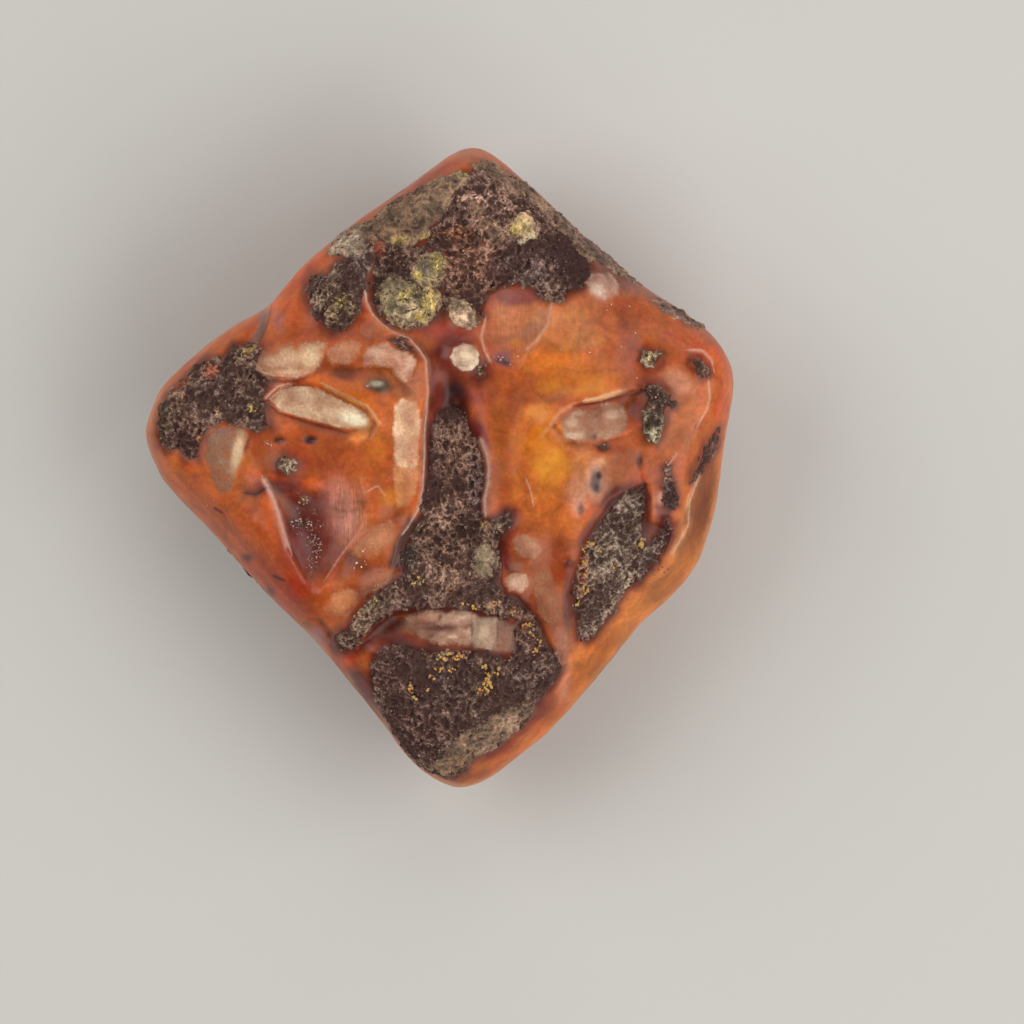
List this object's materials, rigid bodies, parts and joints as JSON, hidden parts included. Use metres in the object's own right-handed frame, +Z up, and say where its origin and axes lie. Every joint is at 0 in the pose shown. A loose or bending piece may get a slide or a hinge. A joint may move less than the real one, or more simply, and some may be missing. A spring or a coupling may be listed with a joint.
{
  "type": "raw amber piece",
  "caption": "Raw lump of translucent orange amber with a crusted, hollowed broad face, a rounded four-cornered outline and a small worn flat on its back.",
  "frame": {"origin": "centre of the bounding box in plan, at the level of the flat on the back that the piece rests on", "axes": "+Z up out of the broad face, +Y towards the top corner of the outline, +X towards the right corner"},
  "size_m": [0.0422, 0.046, 0.0155],
  "materials": {
    "amber": "satin, translucent orange brown, with dull dark crust in the hollows"
  },
  "bodies": {
    "root": {"amber_piece": "amber"}
  },
  "joints": []
}
